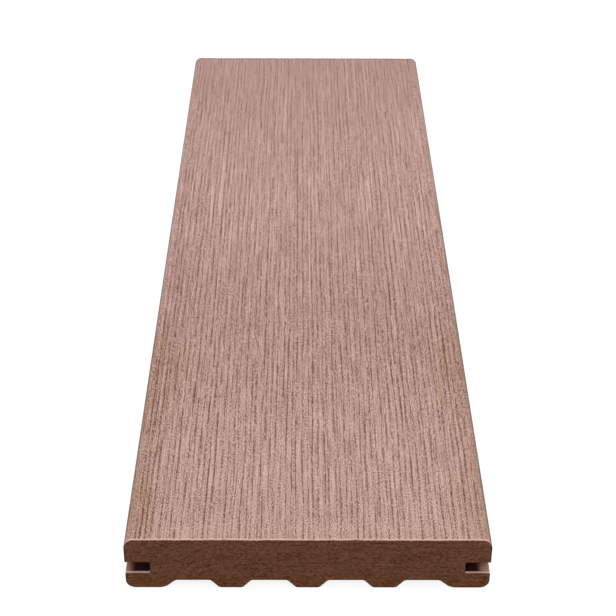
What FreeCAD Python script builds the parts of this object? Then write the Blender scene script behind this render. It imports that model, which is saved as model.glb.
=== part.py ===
"""Grooved composite decking board, one extruded length with both ends sawn square.

The section is constant along the board: a flat top face with rounded arrises, a clip groove
along each long edge, and an underside relieved by shallow recesses that leave a row of feet.
X runs across the board, Y along it and Z up. The origin is at the middle of the underside,
level with the feet. Sizes are in millimetres.
"""

import FreeCAD
import Part
import math
import os

# Overall size
BOARD_LENGTH = 457.0
BOARD_WIDTH = 140.0
BOARD_THICKNESS = 24.0

# Long arrises
TOP_EDGE_RADIUS = 4.0
BOTTOM_EDGE_RADIUS = 4.0

# Clip groove along each long edge, measured down from the top face and in from the edge
UPPER_LIP_THICKNESS = 11.2
GROOVE_HEIGHT = 5.4
GROOVE_DEPTH = 9.6
GROOVE_ROOT_RADIUS = 0.5
GROOVE_MOUTH_RADIUS = 0.3

# Recesses in the underside and the feet between them, with widths taken at half depth
RECESS_COUNT = 4
RECESS_DEPTH = 3.8
RECESS_ROOT_RADIUS = 1.8
OUTER_FOOT_WIDTH = 17.0
OUTER_FLANK_ANGLE = 41.0
OUTER_FOOT_RADIUS = 5.0
INNER_FOOT_WIDTH = 12.3
INNER_FLANK_ANGLE = 48.0
INNER_FOOT_RADIUS = 1.6


def flank(middle, towards_roof, angle, foot_radius):
    """Foot and roof corners of one sloping flank, given where it passes half depth."""
    half_run = RECESS_DEPTH / math.tan(math.radians(angle)) / 2
    foot = (middle - towards_roof * half_run, 0, foot_radius)
    roof = (middle + towards_roof * half_run, RECESS_DEPTH, RECESS_ROOT_RADIUS)
    return [foot, roof]


def underside_corners():
    """Corners of the underside from left to right, as (x, z, radius)."""
    feet_between = (RECESS_COUNT - 1) * INNER_FOOT_WIDTH
    width = (BOARD_WIDTH - 2 * OUTER_FOOT_WIDTH - feet_between) / RECESS_COUNT
    outer = (OUTER_FLANK_ANGLE, OUTER_FOOT_RADIUS)
    inner = (INNER_FLANK_ANGLE, INNER_FOOT_RADIUS)
    left = -BOARD_WIDTH / 2 + OUTER_FOOT_WIDTH
    corners = []
    for number in range(RECESS_COUNT):
        left_flank = outer if number == 0 else inner
        right_flank = outer if number == RECESS_COUNT - 1 else inner
        corners += flank(left, 1, *left_flank)
        corners += reversed(flank(left + width, -1, *right_flank))
        left += width + INNER_FOOT_WIDTH
    return corners


def right_edge_corners():
    """Corners of the right-hand long edge from bottom to top, as (x, z, radius)."""
    face = BOARD_WIDTH / 2
    root = face - GROOVE_DEPTH
    groove_roof = BOARD_THICKNESS - UPPER_LIP_THICKNESS
    groove_floor = groove_roof - GROOVE_HEIGHT
    return [
        (face, 0, BOTTOM_EDGE_RADIUS),
        (face, groove_floor, GROOVE_MOUTH_RADIUS),
        (root, groove_floor, GROOVE_ROOT_RADIUS),
        (root, groove_roof, GROOVE_ROOT_RADIUS),
        (face, groove_roof, GROOVE_MOUTH_RADIUS),
        (face, BOARD_THICKNESS, TOP_EDGE_RADIUS),
    ]


def mirrored(corners):
    """The same corners on the other side of the centre plane, in the opposite order."""
    return [(-x, z, radius) for x, z, radius in reversed(corners)]


def rounded_corner(before, here, after, radius):
    """First, middle and last point of the arc that rounds one corner of an outline."""
    back = (before - here).normalize()
    ahead = (after - here).normalize()
    half_angle = back.getAngle(ahead) / 2
    room = min(before.distanceToPoint(here), after.distanceToPoint(here)) / 2
    trim = min(radius / math.tan(half_angle), room)
    fitted_radius = trim * math.tan(half_angle)
    bisector = (back + ahead).normalize()
    to_middle = fitted_radius / math.sin(half_angle) - fitted_radius
    return here + back * trim, here + bisector * to_middle, here + ahead * trim


def rounded_outline(corners):
    """Closed wire through the corners in the XZ plane, each rounded by its own radius."""
    points = [FreeCAD.Vector(x, 0, z) for x, z, radius in corners]
    arcs = []
    for index, (x, z, radius) in enumerate(corners):
        after = points[(index + 1) % len(points)]
        arcs.append(rounded_corner(points[index - 1], points[index], after, radius))
    edges = []
    for index, (first, middle, last) in enumerate(arcs):
        next_first = arcs[(index + 1) % len(arcs)][0]
        edges.append(Part.Arc(first, middle, last).toShape())
        if not last.isEqual(next_first, 1e-6):
            edges.append(Part.LineSegment(last, next_first).toShape())
    return Part.Wire(edges)


def deck_board():
    """The whole board: its section drawn once and extruded along the length."""
    right_edge = right_edge_corners()
    corners = underside_corners() + right_edge + mirrored(right_edge)
    section = Part.Face(rounded_outline(corners))
    section.translate(FreeCAD.Vector(0, -BOARD_LENGTH / 2, 0))
    return section.extrude(FreeCAD.Vector(0, BOARD_LENGTH, 0))


def main():
    os.makedirs("parts", exist_ok=True)
    board = deck_board()
    board.exportStep("parts/deck_board.step")
    box = board.BoundBox
    print("deck_board", round(box.XLength, 2), round(box.YLength, 2), round(box.ZLength, 2))
    print("volume", round(board.Volume), "valid", board.isValid(), "solids", len(board.Solids))


main()
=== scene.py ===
"""Grooved composite decking board on a pale studio floor, seen from above its near end.

The board is one piece. Its section repeats the sizes of the part's source, and its face is
embossed with straight wood grain, pressed into the mesh itself. It lies along Y with its near
end on the negative side. Its sizes are in millimetres.
"""

import bisect
import math
import random

import bmesh
import bpy
from mathutils import Euler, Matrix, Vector, noise


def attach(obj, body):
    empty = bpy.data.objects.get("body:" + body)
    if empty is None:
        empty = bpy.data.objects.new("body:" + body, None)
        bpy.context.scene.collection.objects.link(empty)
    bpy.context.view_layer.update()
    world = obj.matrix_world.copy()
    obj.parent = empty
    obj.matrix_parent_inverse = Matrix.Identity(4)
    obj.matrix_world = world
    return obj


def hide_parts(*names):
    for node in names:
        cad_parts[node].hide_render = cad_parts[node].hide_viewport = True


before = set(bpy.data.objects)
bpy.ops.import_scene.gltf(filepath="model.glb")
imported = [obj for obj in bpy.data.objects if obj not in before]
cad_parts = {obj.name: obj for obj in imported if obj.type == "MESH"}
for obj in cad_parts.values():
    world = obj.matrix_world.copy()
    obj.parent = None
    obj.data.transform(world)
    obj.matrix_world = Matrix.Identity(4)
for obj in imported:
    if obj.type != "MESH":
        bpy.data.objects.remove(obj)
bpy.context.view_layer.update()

MM = 0.001

# Board
LENGTH = 457.0
WIDTH = 140.0
THICKNESS = 24.0
TOP_EDGE_RADIUS = 4.0
BOTTOM_EDGE_RADIUS = 4.0
HALF_LENGTH = LENGTH / 2
HALF_WIDTH = WIDTH / 2
FLAT_HALF = HALF_WIDTH - TOP_EDGE_RADIUS
ARRIS_FOOT = THICKNESS - TOP_EDGE_RADIUS

# Clip groove in each long edge
UPPER_LIP = 11.2
GROOVE_HEIGHT = 5.4
GROOVE_DEPTH = 9.6
GROOVE_ROOT_RADIUS = 0.5
GROOVE_MOUTH_RADIUS = 0.3
GROOVE_ROOF = THICKNESS - UPPER_LIP
GROOVE_FLOOR = GROOVE_ROOF - GROOVE_HEIGHT

# Recesses and feet of the underside, with widths taken at half depth
RECESS_DEPTH = 3.8
RECESS_WIDTH = 17.275
RECESS_ROOT_RADIUS = 1.8
OUTER_FLANK_ANGLE = 41.0
OUTER_FOOT_RADIUS = 5.0
INNER_FOOT_WIDTH = 12.3
INNER_FLANK_ANGLE = 48.0
INNER_FOOT_RADIUS = 1.6
RECESS_PITCH = RECESS_WIDTH + INNER_FOOT_WIDTH

# Fineness of the mesh. Two places nearer than TOUCH are the same place.
ARRIS_STEPS = 16
WIDE_CORNER_STEPS = 6
TIGHT_CORNER_STEPS = 3
TIGHT_RADIUS = 1.0
ROW_COUNT = 205
COLUMN_ROOM = 0.15
TOUCH = 0.001

# Rim of the sawn ends, where the cut edge of the cap shows
RIM_WIDTH = 0.21

# Colours, as sRGB values from 0 to 255
CAP_DARK = (107, 61, 49)
CAP_LIGHT = (220, 184, 173)
CAP_TAN_DARK = (98, 56, 34)
CAP_TAN_LIGHT = (207, 170, 148)
CUT_EDGE_AND_HIGHLIGHT = (234, 198, 180)
CHIPPED_EDGE = (84, 51, 38)
CORE_DARK = (62, 25, 12)
CORE_LIGHT = (170, 113, 82)
FOOT_DARK = (64, 25, 8)
FOOT_LIGHT = (176, 112, 68)
OUTLINE_PAINTED_SHADE = (36, 16, 8)
CORE_SKIN_DARK = (76, 46, 34)
CORE_SKIN_LIGHT = (118, 80, 62)
GROOVE_PAINTED_SHADE = (42, 4, 0)
MOUTH_PAINTED_LIGHT = (226, 170, 146)
FLOOR_STRIP_PAINTED_LIGHT = (246, 204, 192)


def linear(colour):
    """An sRGB colour as the linear RGBA that a shader takes."""
    values = []
    for part in colour:
        share = part / 255
        values.append(share / 12.92 if share <= 0.04045 else ((share + 0.055) / 1.055) ** 2.4)
    return (*values, 1.0)


# Section

def half_section():
    """Corners of the right half of the section, from the underside up, as (x, z, radius)."""
    outer_run = RECESS_DEPTH / math.tan(math.radians(OUTER_FLANK_ANGLE)) / 2
    inner_run = RECESS_DEPTH / math.tan(math.radians(INNER_FLANK_ANGLE)) / 2
    first = INNER_FOOT_WIDTH / 2
    second = first + RECESS_WIDTH
    third = second + INNER_FOOT_WIDTH
    fourth = third + RECESS_WIDTH
    root = HALF_WIDTH - GROOVE_DEPTH
    return [
        (0, 0, 0),
        (first - inner_run, 0, INNER_FOOT_RADIUS),
        (first + inner_run, RECESS_DEPTH, RECESS_ROOT_RADIUS),
        (second - inner_run, RECESS_DEPTH, RECESS_ROOT_RADIUS),
        (second + inner_run, 0, INNER_FOOT_RADIUS),
        (third - inner_run, 0, INNER_FOOT_RADIUS),
        (third + inner_run, RECESS_DEPTH, RECESS_ROOT_RADIUS),
        (fourth - outer_run, RECESS_DEPTH, RECESS_ROOT_RADIUS),
        (fourth + outer_run, 0, OUTER_FOOT_RADIUS),
        (HALF_WIDTH, 0, BOTTOM_EDGE_RADIUS),
        (HALF_WIDTH, GROOVE_FLOOR, GROOVE_MOUTH_RADIUS),
        (root, GROOVE_FLOOR, GROOVE_ROOT_RADIUS),
        (root, GROOVE_ROOF, GROOVE_ROOT_RADIUS),
        (HALF_WIDTH, GROOVE_ROOF, GROOVE_MOUTH_RADIUS),
        (HALF_WIDTH, THICKNESS, TOP_EDGE_RADIUS),
        (0, THICKNESS, 0),
    ]


def trim_length(before, here, after, radius):
    """How far along its edges a corner is cut back so that an arc of this radius fits."""
    half_angle = (before - here).angle(after - here) / 2
    room = min((before - here).length, (after - here).length) / 2
    return min(radius / math.tan(half_angle), room)


def arc_steps(radius):
    """Segments of a rounded corner."""
    if radius == TOP_EDGE_RADIUS:
        return ARRIS_STEPS
    return WIDE_CORNER_STEPS if radius > TIGHT_RADIUS else TIGHT_CORNER_STEPS


def make_section(mesh):
    """One face at the near end with the whole rounded section."""
    corners = half_section()
    points = [Vector((x, 0, z)) for x, z, radius in corners]
    verts = [mesh.verts.new(point) for point in points]
    mesh.faces.new(verts)
    for index in range(1, len(corners) - 1):
        radius = corners[index][2]
        bmesh.ops.bevel(
            mesh,
            geom=[verts[index]],
            offset=trim_length(points[index - 1], points[index], points[index + 1], radius),
            offset_type="OFFSET",
            segments=arc_steps(radius),
            profile=0.5,
            affect="VERTICES",
            material=-1,
            clamp_overlap=False,
        )
    everything = mesh.verts[:] + mesh.edges[:] + mesh.faces[:]
    bmesh.ops.mirror(mesh, geom=everything, axis="X", merge_dist=TOUCH)
    bmesh.ops.recalc_face_normals(mesh, faces=mesh.faces[:])
    centre_line = [edge for edge in mesh.edges if len(edge.link_faces) == 2]
    bmesh.ops.dissolve_edges(mesh, edges=centre_line, use_verts=False)


# Grain

GRAIN_SEED = 2399
GRAIN_PITCH = 2.2
GRAIN_DEPTH = 0.34

# Main lines: how far one may stand off its place, its width, its strength, the depth that it
# holds and how freely it wanders
LINE_JITTER = 0.5
LINE_WIDTHS = (0.66, 0.88)
LINE_STRENGTHS = (0.73, 1.0)
LINE_HOLD = 0.74
LINE_LOOSENESS = 1.0

# The same for the hair lines between them
HAIR_JITTER = 0.14
HAIR_WIDTHS = (0.36, 0.5)
HAIR_STRENGTHS = (0.1, 0.33)
HAIR_HOLD = 0.26
HAIR_LOOSENESS = 0.3

# A line's own depth, and that of the soft shoulders which reach half a pitch to both sides
CORE_SHARE = 0.74
SHOULDER_SHARE = 0.26
DEEPEST = 1.1

# Fading of a line along the board, slow and quick, and how much of each the calm takes away
FADE_LENGTHS = (15.8, 33.1)
FADE = 1.05
CALM_FADE = 0.32
FLICKER_LENGTH = 7
FLICKER = 0.3
CALM_FLICKER = 0.12

# Sideways wander of one line, drift of the whole face and bend of a few lines together
WANDERS = (0.4, 0.8)
WANDER_LENGTH = 38
DRIFT = 0.5
DRIFT_WIDTH = 45
DRIFT_LENGTH = 170
BEND = 0.85
BEND_WIDTH = 9
BEND_LENGTH = 52
CALM_STRAIGHTNESS = 0.4

# Where these are read in the noise: a shift for each line and a slice for each kind, so that no
# two of them follow each other
NOISE_SHIFTS = (0, 900)
FADE_SLICE = 3.7
FLICKER_SLICE = 9.1
WANDER_SLICE = 5.3
DRIFT_SLICE = 8.8
BEND_SLICE = 2.6

# Stretch along the middle where the lines run straighter and steadier
CALM_PLACE = -10.0
CALM_REACH = 190.0

# Reach and usual value of the mean depth of the grain around a place, and how far the shader
# takes the difference from it out
MEAN_REACH = 4.0
GRAIN_MEAN = 0.28
EVENNESS = 0.9

# Share of a line's tone that is left at the foot of the arris, and how far from the arris the
# sideways sway begins to die out
ARRIS_FOOT_TONE = 0.35
SWAY_ROOM = 3


def calmness(along):
    """From 0 at the ends to 1 along the middle, where the lines run straighter and steadier."""
    return max(0.0, 1 - ((along - CALM_PLACE) / CALM_REACH) ** 2)


class Track:
    """One line of the grain, which runs the length of the board and fades in and out."""

    def __init__(self, place, strength, width, held, looseness, dice):
        self.place = place
        self.strength = strength
        self.half_width = width / 2
        self.area = CORE_SHARE * self.half_width + SHOULDER_SHARE * GRAIN_PITCH / 2
        self.held = held
        self.shift = dice.uniform(*NOISE_SHIFTS)
        self.fade_length = dice.uniform(*FADE_LENGTHS)
        self.wander = looseness * dice.uniform(*WANDERS)

    def depth(self, along):
        """From 0 where the line is missing to 1 where it is pressed deepest."""
        slow = noise.noise(Vector((self.shift, along / self.fade_length, FADE_SLICE)))
        quick = noise.noise(Vector((self.shift, along / FLICKER_LENGTH, FLICKER_SLICE)))
        calm = calmness(along)
        fading = (FADE - CALM_FADE * calm) * slow
        flicker = (FLICKER - CALM_FLICKER * calm) * quick
        return self.strength * min(max(self.held + fading + flicker, 0.0), DEEPEST)

    def pressed(self, across, along):
        """Depth of the line with its soft shoulders, at a place on the unrolled face."""
        gap = abs(across - self.place)
        core = max(0.0, 1 - gap / self.half_width)
        shoulder = max(0.0, 1 - gap / (GRAIN_PITCH / 2))
        return self.depth(along) * (CORE_SHARE * core + SHOULDER_SHARE * shoulder)

    def sway(self, along):
        """How far the line stands to the side of its place."""
        return self.wander * noise.noise(Vector((self.shift, along / WANDER_LENGTH, WANDER_SLICE)))


def make_tracks():
    """Grain lines across the face and both arrises, with a hair line between each two."""
    dice = random.Random(GRAIN_SEED)
    reach = HALF_WIDTH + TOP_EDGE_RADIUS * (math.pi / 2 - 1)
    count = int(2 * reach / GRAIN_PITCH)
    tracks = []
    for index in range(count):
        place = (index - (count - 1) / 2) * GRAIN_PITCH
        strength = dice.uniform(*LINE_STRENGTHS)
        line_place = place + dice.uniform(-LINE_JITTER, LINE_JITTER)
        width = dice.uniform(*LINE_WIDTHS)
        tracks.append(Track(line_place, strength, width, LINE_HOLD, LINE_LOOSENESS, dice))
        hair_place = place + GRAIN_PITCH / 2 + dice.uniform(-HAIR_JITTER, HAIR_JITTER)
        strength = dice.uniform(*HAIR_STRENGTHS)
        width = dice.uniform(*HAIR_WIDTHS)
        tracks.append(Track(hair_place, strength, width, HAIR_HOLD, HAIR_LOOSENESS, dice))
    return tracks


TRACKS = make_tracks()
TRACK_PLACES = [track.place for track in TRACKS]


def grain_around(across, along):
    """Mean depth of the grain over a few lines on both sides of a place."""
    first = bisect.bisect(TRACK_PLACES, across - MEAN_REACH)
    last = bisect.bisect(TRACK_PLACES, across + MEAN_REACH)
    total = 0.0
    weight = 0.0
    for track in TRACKS[first:last]:
        share = 1 - abs(across - track.place) / MEAN_REACH
        total += share * track.area * track.depth(along)
        weight += share
    return total / weight * 2 / GRAIN_PITCH


def grain(across, along):
    """Depth of the grain from 0 to 1 and its sideways sway, at a place on the unrolled face."""
    index = bisect.bisect(TRACK_PLACES, across)
    left = TRACKS[max(index - 1, 0)]
    right = TRACKS[min(index, len(TRACKS) - 1)]
    depth = max(left.pressed(across, along), right.pressed(across, along))
    share = (across - left.place) / max(right.place - left.place, TOUCH)
    share = min(max(share, 0.0), 1.0)
    sway = left.sway(along) * (1 - share) + right.sway(along) * share
    drift_place = Vector((across / DRIFT_WIDTH, along / DRIFT_LENGTH, DRIFT_SLICE))
    bend_place = Vector((across / BEND_WIDTH, along / BEND_LENGTH, BEND_SLICE))
    sway += DRIFT * noise.noise(drift_place)
    sway += BEND * noise.noise(bend_place)
    return min(depth, 1.0), sway * (1 - CALM_STRAIGHTNESS * calmness(along))


def column_places():
    """Places of the mesh's columns across the flat of the face, up to three on a grain line."""
    places = list(TRACK_PLACES)
    for track in TRACKS:
        for edge in (track.place - track.half_width, track.place + track.half_width):
            if min(abs(edge - place) for place in places) > COLUMN_ROOM:
                places.append(edge)
    return sorted(place for place in places if abs(place) < FLAT_HALF - COLUMN_ROOM)


# Board

# Places of the materials in the board's list, how squarely a sawn end faces along the board, how
# far a face may stand past the surface that it belongs to, and the turn of an edge that is sharp
CAP, SAWN, SKIN = range(3)
END_FACING = 0.9
FACE_ROOM = 0.1
MOUTH_ROOM = 0.2
SHARP_TURN = 50


def add_columns(mesh):
    """Cuts the top edge of the section into the columns of the grain."""
    places = column_places()
    columns_each_side = (sum(place < 0 for place in places), sum(place > 0 for place in places))
    for side, count in zip((-1, 1), columns_each_side):
        tops = [e for e in mesh.edges if min(v.co.z for v in e.verts) > THICKNESS - TOUCH]
        half = next(e for e in tops if side * sum(v.co.x for v in e.verts) > TOUCH)
        bmesh.ops.subdivide_edges(mesh, edges=[half], cuts=count)
    verts = [
        vert for vert in mesh.verts
        if vert.co.z > THICKNESS - TOUCH and TOUCH < abs(vert.co.x) < FLAT_HALF - TOUCH
    ]
    for vert, place in zip(sorted(verts, key=lambda vert: vert.co.x), places):
        vert.co.x = place


def make_board():
    """The board as one closed mesh, in millimetres."""
    mesh = bmesh.new()
    make_section(mesh)
    add_columns(mesh)
    near_face = mesh.faces[:]
    made = bmesh.ops.extrude_face_region(mesh, geom=near_face)
    far = [part for part in made["geom"] if isinstance(part, bmesh.types.BMVert)]
    bmesh.ops.translate(mesh, verts=far, vec=(0, LENGTH, 0))
    bmesh.ops.translate(mesh, verts=mesh.verts[:], vec=(0, -HALF_LENGTH, 0))
    grained_edges = []
    for edge in mesh.edges:
        first, second = edge.verts
        if abs(first.co.y - second.co.y) > TOUCH and first.co.z > ARRIS_FOOT - TOUCH:
            grained_edges.append(edge)
    bmesh.ops.subdivide_edges(mesh, edges=grained_edges, cuts=ROW_COUNT - 1, use_grid_fill=True)
    bmesh.ops.recalc_face_normals(mesh, faces=mesh.faces[:])
    mark_rims(mesh)
    return mesh


def mark_rims(mesh):
    """A narrow rim inside the outline of both ends, with a value that fades out across it."""
    layer = mesh.verts.layers.float.new("rim")
    ends = [face for face in mesh.faces if abs(face.normal.y) > END_FACING]
    for end in ends:
        for vert in end.verts:
            vert[layer] = 1.0
        bmesh.ops.inset_region(mesh, faces=[end], thickness=RIM_WIDTH, use_even_offset=True)
        for vert in end.verts:
            vert[layer] = 0.0


def press_grain(mesh):
    """Presses the grain into the face and the arrises, and keeps its depth for the shader."""
    mesh.verts.layers.float.new("emboss")
    mesh.verts.layers.float.new("grain_mean")
    layer = mesh.verts.layers.float["emboss"]
    mean_layer = mesh.verts.layers.float["grain_mean"]
    for vert in mesh.verts:
        x, y, z = vert.co
        vert[mean_layer] = GRAIN_MEAN
        if z < ARRIS_FOOT - TOUCH:
            continue
        side = math.copysign(1, x)
        turn = 0.0
        across = x
        if abs(x) > FLAT_HALF:
            turn = math.atan2(abs(x) - FLAT_HALF, z - ARRIS_FOOT)
            across = side * (FLAT_HALF + turn * TOP_EDGE_RADIUS)
        depth, sway = grain(across, y)
        hold = max(0.0, 1 - turn / (math.pi / 2))
        vert[layer] = depth * (ARRIS_FOOT_TONE + (1 - ARRIS_FOOT_TONE) * hold)
        vert[mean_layer] += (grain_around(across, y) - GRAIN_MEAN) * hold * EVENNESS
        inwards = Vector((-side * math.sin(turn), 0, -math.cos(turn)))
        vert.co += inwards * (depth * GRAIN_DEPTH * hold)
        vert.co.x += sway * max(0.0, min(1.0, (FLAT_HALF - abs(x)) / SWAY_ROOM))


def paint_faces(mesh):
    """Gives each face its material, and shades all but the sawn ends and sharp edges smoothly."""
    for face in mesh.faces:
        place = face.calc_center_median()
        in_groove = (
            GROOVE_FLOOR - FACE_ROOM < place.z < GROOVE_ROOF + FACE_ROOM
            and abs(place.x) < HALF_WIDTH - MOUTH_ROOM
        )
        below = place.z < RECESS_DEPTH + FACE_ROOM
        below = below and abs(place.x) < HALF_WIDTH - BOTTOM_EDGE_RADIUS
        if abs(face.normal.y) > END_FACING:
            face.material_index = SAWN
        elif in_groove or below:
            face.material_index = SKIN
        else:
            face.material_index = CAP
        face.smooth = abs(face.normal.y) < END_FACING
    for edge in mesh.edges:
        if len(edge.link_faces) == 2 and edge.calc_face_angle() > math.radians(SHARP_TURN):
            edge.smooth = False


def finished_object(name, mesh, materials):
    """An object at the origin from a mesh in millimetres."""
    bmesh.ops.scale(mesh, vec=(MM, MM, MM), verts=mesh.verts[:])
    data = bpy.data.meshes.new(name)
    mesh.to_mesh(data)
    mesh.free()
    for material in materials:
        data.materials.append(material)
    made = bpy.data.objects.new(name, data)
    bpy.context.collection.objects.link(made)
    return made


# Shader arithmetic

class Shade:
    """One value in a material's nodes, which takes part in plain arithmetic."""

    def __init__(self, tree, socket):
        self.tree = tree
        self.socket = socket

    def maths(self, operation, *values):
        settings = {"operation": operation}
        return self.tree.add("ShaderNodeMath", settings, dict(enumerate(values)))

    def __add__(self, other):
        return self.maths("ADD", self, other)

    def __radd__(self, other):
        return self.maths("ADD", other, self)

    def __sub__(self, other):
        return self.maths("SUBTRACT", self, other)

    def __rsub__(self, other):
        return self.maths("SUBTRACT", other, self)

    def __mul__(self, other):
        return self.maths("MULTIPLY", self, other)

    def __rmul__(self, other):
        return self.maths("MULTIPLY", other, self)

    def larger(self, other):
        return self.maths("MAXIMUM", self, other)

    def smaller(self, other):
        return self.maths("MINIMUM", self, other)

    def size(self):
        return self.maths("ABSOLUTE", self)

    def between(self, zone, values=(0.0, 1.0)):
        """The first value below the zone, the second above it and a smooth change inside."""
        settings = {"interpolation_type": "SMOOTHSTEP"}
        inputs = {
            "Value": self,
            "From Min": zone[0],
            "From Max": zone[1],
            "To Min": values[0],
            "To Max": values[1],
        }
        return self.tree.add("ShaderNodeMapRange", settings, inputs, "Result")


class Tree:
    """The nodes of one material or world, with one method that adds any node."""

    def __init__(self, owner):
        owner.use_nodes = True
        self.owner = owner
        self.nodes = owner.node_tree.nodes
        self.links = owner.node_tree.links
        self.nodes.clear()

    def add(self, kind, settings=None, inputs=None, output=0):
        node = self.nodes.new(kind)
        for name, value in (settings or {}).items():
            setattr(node, name, value)
        for name, value in (inputs or {}).items():
            if isinstance(value, Shade):
                self.links.new(value.socket, node.inputs[name])
            else:
                node.inputs[name].default_value = value
        return Shade(self, node.outputs[output]) if node.outputs else node

    def attribute(self, name):
        """A value that the mesh keeps at each of its vertices."""
        return self.add("ShaderNodeAttribute", {"attribute_name": name}, output="Fac")

    def place(self):
        """Object coordinates in millimetres."""
        where = self.add("ShaderNodeTexCoord", output="Object")
        return self.scaled(where, (1 / MM, 1 / MM, 1 / MM))

    def scaled(self, where, scale):
        """A place with each axis multiplied by its part of scale."""
        return self.add("ShaderNodeVectorMath", {"operation": "MULTIPLY"}, {0: where, 1: scale})

    def axes(self):
        """Object coordinates in millimetres, one value for each axis."""
        split = self.add("ShaderNodeSeparateXYZ", inputs={"Vector": self.place()})
        outputs = split.socket.node.outputs
        return [Shade(self, outputs[name]) for name in "XYZ"]

    def noise(self, cells, seed, detail, roughness=0.5, where=None):
        """Noise around 0, with this many cells in each millimetre of each axis."""
        settings = {"noise_dimensions": "4D"}
        inputs = {
            "Vector": self.scaled(where or self.place(), cells),
            "W": seed,
            "Scale": 1.0,
            "Detail": detail,
            "Roughness": roughness,
        }
        return self.add("ShaderNodeTexNoise", settings, inputs, "Fac") - 0.5

    def mix(self, share, first, second):
        """Two colours mixed by share. A Mix node keeps its colour sockets at these numbers."""
        return self.add("ShaderNodeMix", {"data_type": "RGBA"}, {0: share, 6: first, 7: second}, 2)

    def plastic(self, colour, roughness, shine, relief, strength, depth):
        """Ends the material in a plastic surface with a fine relief, this many mm deep."""
        inputs = {"Height": relief, "Strength": strength, "Distance": depth * MM}
        normal = self.add("ShaderNodeBump", inputs=inputs, output="Normal")
        inputs = {"Base Color": colour, "Roughness": roughness, "Normal": normal}
        inputs["Specular IOR Level"] = shine
        shader = self.add("ShaderNodeBsdfPrincipled", inputs=inputs)
        self.add("ShaderNodeOutputMaterial", inputs={"Surface": shader})
        return self.owner


# Cap

# Cells of its noise in each millimetre across, along and up the board
FIBRE_CELLS = (2.8, 0.055, 2.8)
SPECK_CELLS = (3.0, 1.2, 3.0)
CLUMP_CELLS = (1.6, 0.62, 1.6)
STREAK_CELLS = (0.5, 0.02, 0.5)
RIDGE_HIGHLIGHT_CELLS = (1.1, 0.024, 1.1)
CLOUD_CELLS = (0.05, 0.012, 0.05)
TAN_CELLS = (0.2, 0.03, 0.2)
CHIP_CELLS = (0.1, 0.0, 0.1)

# Zones across the board, as distances from its centre line
FLANK_ZONE = (50.0, 66.0)
ARRIS_ZONE = (66.6, 68.2)
BRINK_ZONE = (68.4, 69.6)

# Values that fade away over a zone
FADE_OUT = (1.0, 0.0)

# Grain. A tone of 1 is the whole way from the dark colour to the light one. A pair of tones
# belongs to the two ends of the zone along the board that stands beside it.
LINE_TONE = 0.73
ARRIS_LINE_SHARES = (1.0, 0.3)
FIBRE_TONE = 1.65
SPECK_ZONE = (-220.0, -70.0)
SPECK_TONES = (2.8, 4.4)
CLUMP_PLACE = 80.0
CLUMP_REACHES = (0.0, 160.0)
CLUMP_TONES = (0.5, 0.1)
STREAK_ZONE = (-100.0, 200.0)
STREAK_TONES = (0.0, 0.2)
# Painted highlight streaks that stand in for lit ridges
RIDGE_HIGHLIGHT_CUT = (0.04, 0.18)
RIDGE_HIGHLIGHT_MEAN = 0.22
RIDGE_HIGHLIGHT_ZONE = (-160.0, 60.0)
RIDGE_HIGHLIGHT_TONES = (0.06, 0.32)

# Strength of all the grain, which softens at the near end and towards the far one
CRISP_ZONE = (-200.0, -130.0)
CRISPNESS = (1.09, 1.35)
NEAR_END_ZONE = (HALF_LENGTH - 14.0, HALF_LENGTH)
NEAR_END_SOFTNESS = 0.1
FAR_ZONE = (-50.0, 240.0)
FAR_SOFTNESS = (0.0, 0.87)

# Tone under the grain, with a slightly darker band across the board
CAP_TONE = 0.435
CLOUD_TONE = 0.07
DARK_BAND = -88.0
BAND_REACHES = (10.0, 95.0)
BAND_TONES = (0.0, 0.1)
MIDDLE_ZONE = (-20.0, 50.0)
MIDDLE_TONES = (0.0, 0.037)
FAR_HALF_ZONE = (75.0, 190.0)
FAR_HALF_SHADES = (0.0, 0.075)
NEAR_END_TONE = 0.095
# Painted shade: a thin darker line along the far cut edge
FAR_END_ZONE = (HALF_LENGTH - 3.0, HALF_LENGTH - 1.0)
FAR_EDGE_PAINTED_SHADES = (0.0, 0.17)

# Painted light and shade towards the long edges: painted shade on the left side and the flanks,
# painted light on the arrises and a dark brink of painted shade under them
LEFT_ZONE = (-140.0, 40.0)
LEFT_PAINTED_SHADES = (0.125, 0.03)
FLANK_FADE = (-60.0, 20.0)
FLANK_PAINTED_SHADES = (0.02, 0.0)
ARRIS_PAINTED_LIGHT = 0.1
LEFT_ARRIS_FADE = (0.0, 100.0)
LEFT_ARRIS_PAINTED_LIGHTS = (0.1, 0.0)
BRINK_HEIGHTS = (17.0, 20.0)
BRINK_FADE = (-20.0, 100.0)
CENTRE_ZONE = (-10.0, 10.0)
BRINK_PAINTED_SHADES = (0.35, 0.5)

# Tan patches, which gather on the near flanks and at the near end
TAN_FLANK_FADE = (-120.0, -20.0)
TAN_FLANK_RISES = (0.3, 0.0)
TAN_CUT = (0.1, 0.35)
TAN_SHARES = (0.0, 0.8)
TAN_END_ZONE = (HALF_LENGTH - 8.0, HALF_LENGTH - 2.0)
TAN_END_SHARES = (0.0, 0.5)

# Painted highlight along the cut edge of the top, faint at the far end, and chips in the cut edge
CUT_HIGHLIGHT_WIDTH = 1.3
CUT_HIGHLIGHT_ZONE = (HALF_LENGTH - CUT_HIGHLIGHT_WIDTH, HALF_LENGTH - CUT_HIGHLIGHT_WIDTH / 3)
CUT_HIGHLIGHT_STRENGTH = 0.62
CUT_HIGHLIGHT_SPECK = 0.5
CUT_HIGHLIGHT_FADE = (0.0, HALF_LENGTH)
CUT_HIGHLIGHT_SHARES = (1.0, 0.05)
CHIP_SIZE = 4.0
CHIP_REACH = 0.08
CHIP_EDGE = (0.0, 0.2)

# Surface
CAP_ROUGHNESS = 0.64
CAP_ROUGHNESS_SPECK = 0.2
CAP_SPECK_RELIEF = 0.6
CAP_RELIEF_STRENGTH = 0.5
CAP_RELIEF_DEPTH = 0.12
CAP_SHINE = 0.35


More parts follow.
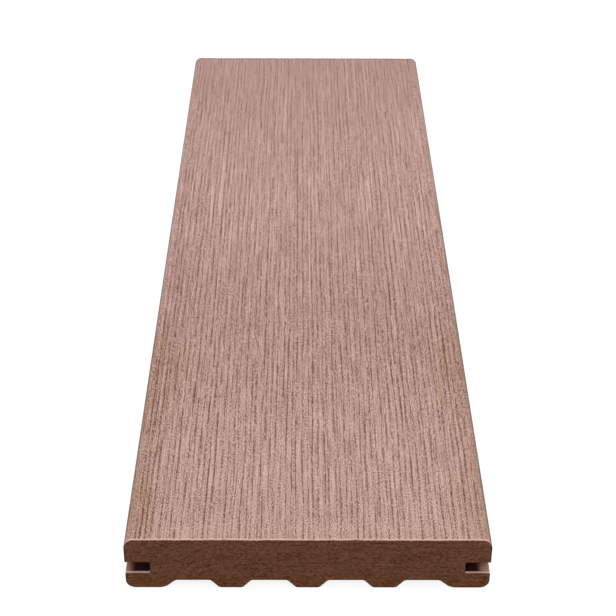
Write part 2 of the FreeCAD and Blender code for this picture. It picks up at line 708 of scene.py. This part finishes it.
def cap_grain(tree, x, y, fibre, speck):
    """Light and dark of the grain, around 0, with painted shade in its pressed lines and painted
    highlight streaks.
    """
    clump = tree.noise(CLUMP_CELLS, seed=15.0, detail=1.0)
    streak = tree.noise(STREAK_CELLS, seed=4.0, detail=1.0)
    # Painted highlight: pale streaks where lit ridges beside the lines would shine
    ridge_highlight = tree.noise(RIDGE_HIGHLIGHT_CELLS, seed=14.0, detail=1.0).between(RIDGE_HIGHLIGHT_CUT)
    # The pressed lines are darker by their depth: partly their own colour, partly painted shade in
    # them
    lines = tree.attribute("grain_mean") - tree.attribute("emboss")
    tone = lines * x.size().between(ARRIS_ZONE, ARRIS_LINE_SHARES) * LINE_TONE
    tone += fibre * FIBRE_TONE + speck * y.between(SPECK_ZONE, SPECK_TONES)
    tone += clump * (y - CLUMP_PLACE).size().between(CLUMP_REACHES, CLUMP_TONES)
    tone += streak * y.between(STREAK_ZONE, STREAK_TONES)
    tone += (ridge_highlight - RIDGE_HIGHLIGHT_MEAN) * y.between(RIDGE_HIGHLIGHT_ZONE, RIDGE_HIGHLIGHT_TONES)
    crispness = y.between(CRISP_ZONE, CRISPNESS) - y.between(FAR_ZONE, FAR_SOFTNESS)
    return tone * (crispness - (0 - y).between(NEAR_END_ZONE) * NEAR_END_SOFTNESS)


def cap_tone(tree, x, y, z):
    """Tone of the cap under its grain along the board, and painted light and shade towards its
    long edges.
    """
    tone = tree.noise(CLOUD_CELLS, seed=8.0, detail=2.0) * CLOUD_TONE + CAP_TONE
    tone += (y - DARK_BAND).size().between(BAND_REACHES, BAND_TONES)
    tone += y.between(MIDDLE_ZONE, MIDDLE_TONES) - y.between(FAR_HALF_ZONE, FAR_HALF_SHADES)
    tone += (0 - y).between(NEAR_END_ZONE) * NEAR_END_TONE
    # Painted shade along the far cut edge
    tone -= y.between(FAR_END_ZONE, FAR_EDGE_PAINTED_SHADES)
    left = (0 - x).between(FLANK_ZONE)
    flank = x.size().between(FLANK_ZONE)
    arris = x.size().between(ARRIS_ZONE)
    # Painted shade on the left side and the flanks, and painted light on the arrises
    tone -= left * y.between(LEFT_ZONE, LEFT_PAINTED_SHADES)
    tone -= (flank - arris) * y.between(FLANK_FADE, FLANK_PAINTED_SHADES)
    tone += arris * (left * y.between(LEFT_ARRIS_FADE, LEFT_ARRIS_PAINTED_LIGHTS) + ARRIS_PAINTED_LIGHT)
    # Painted shade: a dark brink along the silhouette under the arrises
    brink_shade = x.size().between(BRINK_ZONE) * z.between(BRINK_HEIGHTS)
    brink_shade *= y.between(BRINK_FADE, FADE_OUT)
    return tone - brink_shade * x.between(CENTRE_ZONE, BRINK_PAINTED_SHADES)


def tan_share(tree, x, y):
    """How far the cap turns from pink to tan."""
    flank = x.size().between(FLANK_ZONE) * y.between(TAN_FLANK_FADE, TAN_FLANK_RISES)
    patches = tree.noise(TAN_CELLS, seed=11.0, detail=1.0) + flank
    near_end = (0 - y).between(TAN_END_ZONE, TAN_END_SHARES)
    return patches.between(TAN_CUT, TAN_SHARES).larger(near_end)


def cap_material():
    """Light embossed cap: dark pressed grain with painted shade, painted highlights between and a
    fine speckle.
    """
    tree = Tree(bpy.data.materials.new("embossed_cap"))
    x, y, z = tree.axes()
    fibre = tree.noise(FIBRE_CELLS, seed=2.0, detail=2.0, roughness=0.6)
    speck = tree.noise(SPECK_CELLS, seed=5.0, detail=1.0)
    tone = cap_grain(tree, x, y, fibre, speck) + cap_tone(tree, x, y, z)
    pink = tree.mix(tone, linear(CAP_DARK), linear(CAP_LIGHT))
    tan = tree.mix(tone, linear(CAP_TAN_DARK), linear(CAP_TAN_LIGHT))
    colour = tree.mix(tan_share(tree, x, y), pink, tan)
    # Painted highlight on the top along the cut, faint at the far end
    cut_highlight = y.size().between(CUT_HIGHLIGHT_ZONE) * (speck * CUT_HIGHLIGHT_SPECK + CUT_HIGHLIGHT_STRENGTH)
    colour = tree.mix(cut_highlight * y.between(CUT_HIGHLIGHT_FADE, CUT_HIGHLIGHT_SHARES), colour, linear(CUT_EDGE_AND_HIGHLIGHT))
    ragged = tree.noise(CHIP_CELLS, seed=12.0, detail=3.0, roughness=0.6)
    chip = (y.size() - HALF_LENGTH + ragged * CHIP_SIZE + CHIP_REACH).between(CHIP_EDGE)
    colour = tree.mix(chip, colour, linear(CHIPPED_EDGE))
    roughness = speck * CAP_ROUGHNESS_SPECK + CAP_ROUGHNESS
    relief = speck * CAP_SPECK_RELIEF + fibre
    return tree.plastic(
        colour, roughness, CAP_SHINE, relief, CAP_RELIEF_STRENGTH, CAP_RELIEF_DEPTH
    )


# Sawn ends

# Strokes of the saw, which lean left of a place on the board
SAW_TURN = 34.0
SAW_SLOPE = 0.32
MOTTLE_CELLS = (0.86, 0.82, 1.85)
STROKE_CELLS = (0.08, 0.08, 1.5)
GRIT_CELLS = (2.5, 2.5, 2.5)

# Tone of the core, which turns warmer towards the feet
CORE_TONE = 0.445
MOTTLE_TONE = 1.95
STROKE_TONE = 0.8
GRIT_TONE = 0.9
FOOT_HEIGHTS = (3.0, 7.0)
FOOT_SHARES = (0.8, 0.0)

# Painted shade as a dark outline below the cap: along the rim, the long edges, the feet and the
# recesses' ceilings
CAPPED_HEIGHTS = (THICKNESS - 4.0, THICKNESS - 2.6)
OUTLINE_SHADE_STRENGTH = 0.9
OUTLINE_ZONE = (0.2, 0.55)
RIM_ZONE = (0.0, 0.55)
CEILING_ZONE = (5.5, 7.5)

# Ragged cut edge of the cap inside the rim
RAGGED_CELLS = (0.1, 0.1, 0.0)
RAGGED_MIDDLE = 0.5
RAGGED_SPREAD = 3.0
RAGGED_LEAST = 0.22
RAGGED_INNER = 0.2
RAGGED_OUTER = 0.1

# Surface
SAWN_ROUGHNESS = 0.8
SAWN_ROUGHNESS_GRIT = 0.1
SAWN_GRIT_RELIEF = 0.6
SAWN_RELIEF_STRENGTH = 0.6
SAWN_RELIEF_DEPTH = 0.2
SAWN_SHINE = 0.25


def outline_shade_share(rim, x, z):
    """Share of painted shade: 1 along the outline of the section, and 0 inside it."""
    from_edge = HALF_WIDTH - x.size()
    from_recess = ((x.size() - RECESS_PITCH).size() - RECESS_PITCH / 2).size()
    ceiling = (z - RECESS_DEPTH).size().between(OUTLINE_ZONE, FADE_OUT)
    ceiling *= from_recess.between(CEILING_ZONE, FADE_OUT)
    edges = from_edge.between(OUTLINE_ZONE, FADE_OUT).larger(z.between(OUTLINE_ZONE, FADE_OUT))
    return rim.between(RIM_ZONE).larger(edges).larger(ceiling)


def sawn_material():
    """Sawn end: mottled dark core, an outline of painted shade and the paler cut edge of the cap.
    """
    tree = Tree(bpy.data.materials.new("sawn_core"))
    rim = tree.attribute("rim")
    x, y, z = tree.axes()
    level = z - (x + SAW_TURN).smaller(0) * SAW_SLOPE
    strokes = tree.add("ShaderNodeCombineXYZ", inputs={"X": x, "Y": y, "Z": level})
    mottle = tree.noise(MOTTLE_CELLS, seed=3.0, detail=2.0, roughness=0.6, where=strokes)
    stroke = tree.noise(STROKE_CELLS, seed=6.0, detail=2.0, where=strokes)
    grit = tree.noise(GRIT_CELLS, seed=9.0, detail=2.0, roughness=0.6)
    tone = mottle * MOTTLE_TONE + stroke * STROKE_TONE + grit * GRIT_TONE + CORE_TONE
    core = tree.mix(tone, linear(CORE_DARK), linear(CORE_LIGHT))
    foot = tree.mix(tone, linear(FOOT_DARK), linear(FOOT_LIGHT))
    core = tree.mix(z.between(FOOT_HEIGHTS, FOOT_SHARES), core, foot)
    capped = z.between(CAPPED_HEIGHTS)
    # Painted shade darkens the core along the outline
    outline_shade = outline_shade_share(rim, x, z) * (1 - capped) * OUTLINE_SHADE_STRENGTH
    core = tree.mix(outline_shade, core, linear(OUTLINE_PAINTED_SHADE))
    ragged = tree.noise(RAGGED_CELLS, seed=12.0, detail=3.0, roughness=0.6)
    ragged = (ragged * RAGGED_SPREAD + RAGGED_MIDDLE).larger(RAGGED_LEAST)
    cut_edge = rim.between((ragged - RAGGED_INNER, ragged + RAGGED_OUTER)) * capped
    colour = tree.mix(cut_edge, core, linear(CUT_EDGE_AND_HIGHLIGHT))
    roughness = grit * SAWN_ROUGHNESS_GRIT + SAWN_ROUGHNESS
    relief = grit * SAWN_GRIT_RELIEF + mottle
    return tree.plastic(
        colour, roughness, SAWN_SHINE, relief, SAWN_RELIEF_STRENGTH, SAWN_RELIEF_DEPTH
    )


# Skin of the core

DIE_LINE_CELLS = (1.6, 0.01, 1.6)
SKIN_CELLS = (0.2, 0.08, 0.2)
SKIN_TONE = 0.45
DIE_LINE_TONE = 0.8
SKIN_MOTTLE_TONE = 0.9

# Groove: its lining darkened to near black as painted shade, painted light on its mouth, more of
# it on the right, and a pale strip of painted light on its floor beside the cut
GROOVE_HEIGHTS = (6.0, 7.0)
MOUTH_ZONE = (HALF_WIDTH - 3.8, HALF_WIDTH - 0.9)
MOUTH_HEIGHTS = (GROOVE_ROOF - 2.4, GROOVE_ROOF - 0.4)
MOUTH_SHARES = (0.55, 0.85)
RIGHT_MOUTH_REACH = 1.3
RIGHT_MOUTH_SHARE = 0.2
STRIP_ZONE = (HALF_LENGTH - 1.2, HALF_LENGTH - 0.8)
STRIP_HEIGHTS = (GROOVE_FLOOR + 0.2, GROOVE_FLOOR + 0.6)

# Surface
SKIN_ROUGHNESS = 0.7
SKIN_ROUGHNESS_MOTTLE = 0.2
SKIN_RELIEF_STRENGTH = 0.4
SKIN_RELIEF_DEPTH = 0.1
SKIN_SHINE = 0.15


def skin_material():
    """Dark extruded skin underneath, fine die lines along it, and painted shade and light in the
    groove.
    """
    tree = Tree(bpy.data.materials.new("core_skin"))
    x, y, z = tree.axes()
    lines = tree.noise(DIE_LINE_CELLS, seed=4.0, detail=3.0, roughness=0.6)
    mottle = tree.noise(SKIN_CELLS, seed=7.0, detail=3.0, roughness=0.6)
    tone = lines * DIE_LINE_TONE + mottle * SKIN_MOTTLE_TONE + SKIN_TONE
    skin = tree.mix(tone, linear(CORE_SKIN_DARK), linear(CORE_SKIN_LIGHT))
    in_groove = z.between(GROOVE_HEIGHTS)
    # Painted shade: the groove's inside darkened to near black
    colour = tree.mix(in_groove, skin, linear(GROOVE_PAINTED_SHADE))
    # Painted light on the groove's mouth, reaching further in on the right
    right = x.between(CENTRE_ZONE)
    mouth_light = (x.size() + right * RIGHT_MOUTH_REACH).between(MOUTH_ZONE) * in_groove
    mouth_light *= z.between(MOUTH_HEIGHTS, MOUTH_SHARES) + right * RIGHT_MOUTH_SHARE
    colour = tree.mix(mouth_light, colour, linear(MOUTH_PAINTED_LIGHT))
    # Painted light on the groove's floor just behind the cut
    strip_light = y.size().between(STRIP_ZONE) * in_groove * z.between(STRIP_HEIGHTS, FADE_OUT)
    colour = tree.mix(strip_light, colour, linear(FLOOR_STRIP_PAINTED_LIGHT))
    roughness = mottle * SKIN_ROUGHNESS_MOTTLE + SKIN_ROUGHNESS
    return tree.plastic(
        colour, roughness, SKIN_SHINE, lines, SKIN_RELIEF_STRENGTH, SKIN_RELIEF_DEPTH
    )


# Studio, in metres, degrees and watts

CAMERA_PLACE = (-0.002958, -0.661160, 0.404250)
CAMERA_TURN = (57.446476, -0.248624, -0.174504)
CAMERA_LENS = 88.066
SENSOR_WIDTH = 36.0

OVERHEAD_PLACE = (0.0, 0.2, 1.6)
OVERHEAD_SIZE = 1.2
OVERHEAD_POWER = 15.6
FRONT_PLACE = (-0.2, -1.6, 1.8)
FRONT_SIZE = 1.0
FRONT_POWER = 14.0

FLOOR_SIZE = 12.0
FLOOR_GREY = (0.27, 0.27, 0.27, 1.0)
FLOOR_GLOW = 0.86
SHADOW_ZONE = (0.35, 1.4)
WORLD_LIGHT = 0.28
WHITE = (1.0, 1.0, 1.0, 1.0)


def make_camera():
    data = bpy.data.cameras.new("camera")
    data.lens = CAMERA_LENS
    data.sensor_width = SENSOR_WIDTH
    camera = bpy.data.objects.new("camera", data)
    camera.location = CAMERA_PLACE
    camera.rotation_euler = Euler([math.radians(turn) for turn in CAMERA_TURN], "XYZ")
    bpy.context.collection.objects.link(camera)
    bpy.context.scene.camera = camera


def make_lamp(name, place, size, power):
    """A square soft lamp that looks at the middle of the board."""
    data = bpy.data.lights.new(name, "AREA")
    data.size = size
    data.energy = power
    lamp = bpy.data.objects.new(name, data)
    lamp.location = place
    lamp.rotation_euler = (-Vector(place)).to_track_quat("-Z", "Y").to_euler()
    bpy.context.collection.objects.link(lamp)


def seen_directly(tree):
    """1 for rays from the camera, and for mirror and glass rays that should see white too."""
    camera = tree.add("ShaderNodeLightPath", output="Is Camera Ray")
    glossy = tree.add("ShaderNodeLightPath", output="Is Glossy Ray")
    glass = tree.add("ShaderNodeLightPath", output="Is Transmission Ray")
    return camera.larger(glossy).larger(glass)


def floor_material():
    """White to the camera, with only a soft part left near the board for its shadow."""
    tree = Tree(bpy.data.materials.new("studio_floor"))
    plain = tree.add("ShaderNodeBsdfDiffuse", inputs={"Color": FLOOR_GREY})
    white = tree.add("ShaderNodeEmission", inputs={"Color": WHITE, "Strength": 1.0})
    place = tree.add("ShaderNodeTexCoord", output="Object")
    distance = tree.add("ShaderNodeVectorMath", {"operation": "LENGTH"}, {0: place}, "Value")
    share = seen_directly(tree) * distance.between(SHADOW_ZONE, (FLOOR_GLOW, 1.0))
    glow = tree.add("ShaderNodeMixShader", inputs={0: share, 2: white})
    surface = tree.add("ShaderNodeAddShader", inputs={0: plain, 1: glow})
    tree.add("ShaderNodeOutputMaterial", inputs={"Surface": surface})
    return tree.owner


def make_floor():
    mesh = bmesh.new()
    bmesh.ops.create_grid(mesh, x_segments=1, y_segments=1, size=FLOOR_SIZE / 2 / MM)
    floor = finished_object("studio_floor", mesh, [floor_material()])


def make_world():
    """White to the camera, and a weaker even light on the board."""
    world = bpy.data.worlds.new("studio")
    bpy.context.scene.world = world
    tree = Tree(world)
    light = tree.add("ShaderNodeBackground", inputs={"Color": WHITE, "Strength": WORLD_LIGHT})
    white = tree.add("ShaderNodeBackground", inputs={"Color": WHITE, "Strength": 1.0})
    sky = tree.add("ShaderNodeMixShader", inputs={0: seen_directly(tree), 1: light, 2: white})
    tree.add("ShaderNodeOutputWorld", inputs={"Surface": sky})


make_camera()
make_world()
make_lamp("overhead", OVERHEAD_PLACE, OVERHEAD_SIZE, OVERHEAD_POWER)
make_lamp("front", FRONT_PLACE, FRONT_SIZE, FRONT_POWER)
make_floor()

board_mesh = make_board()
press_grain(board_mesh)
paint_faces(board_mesh)
board = finished_object(
    "embossed_board", board_mesh, [cap_material(), sawn_material(), skin_material()]
)
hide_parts("deck_board")
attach(board, "root")

bpy.context.scene.view_settings.view_transform = "Standard"
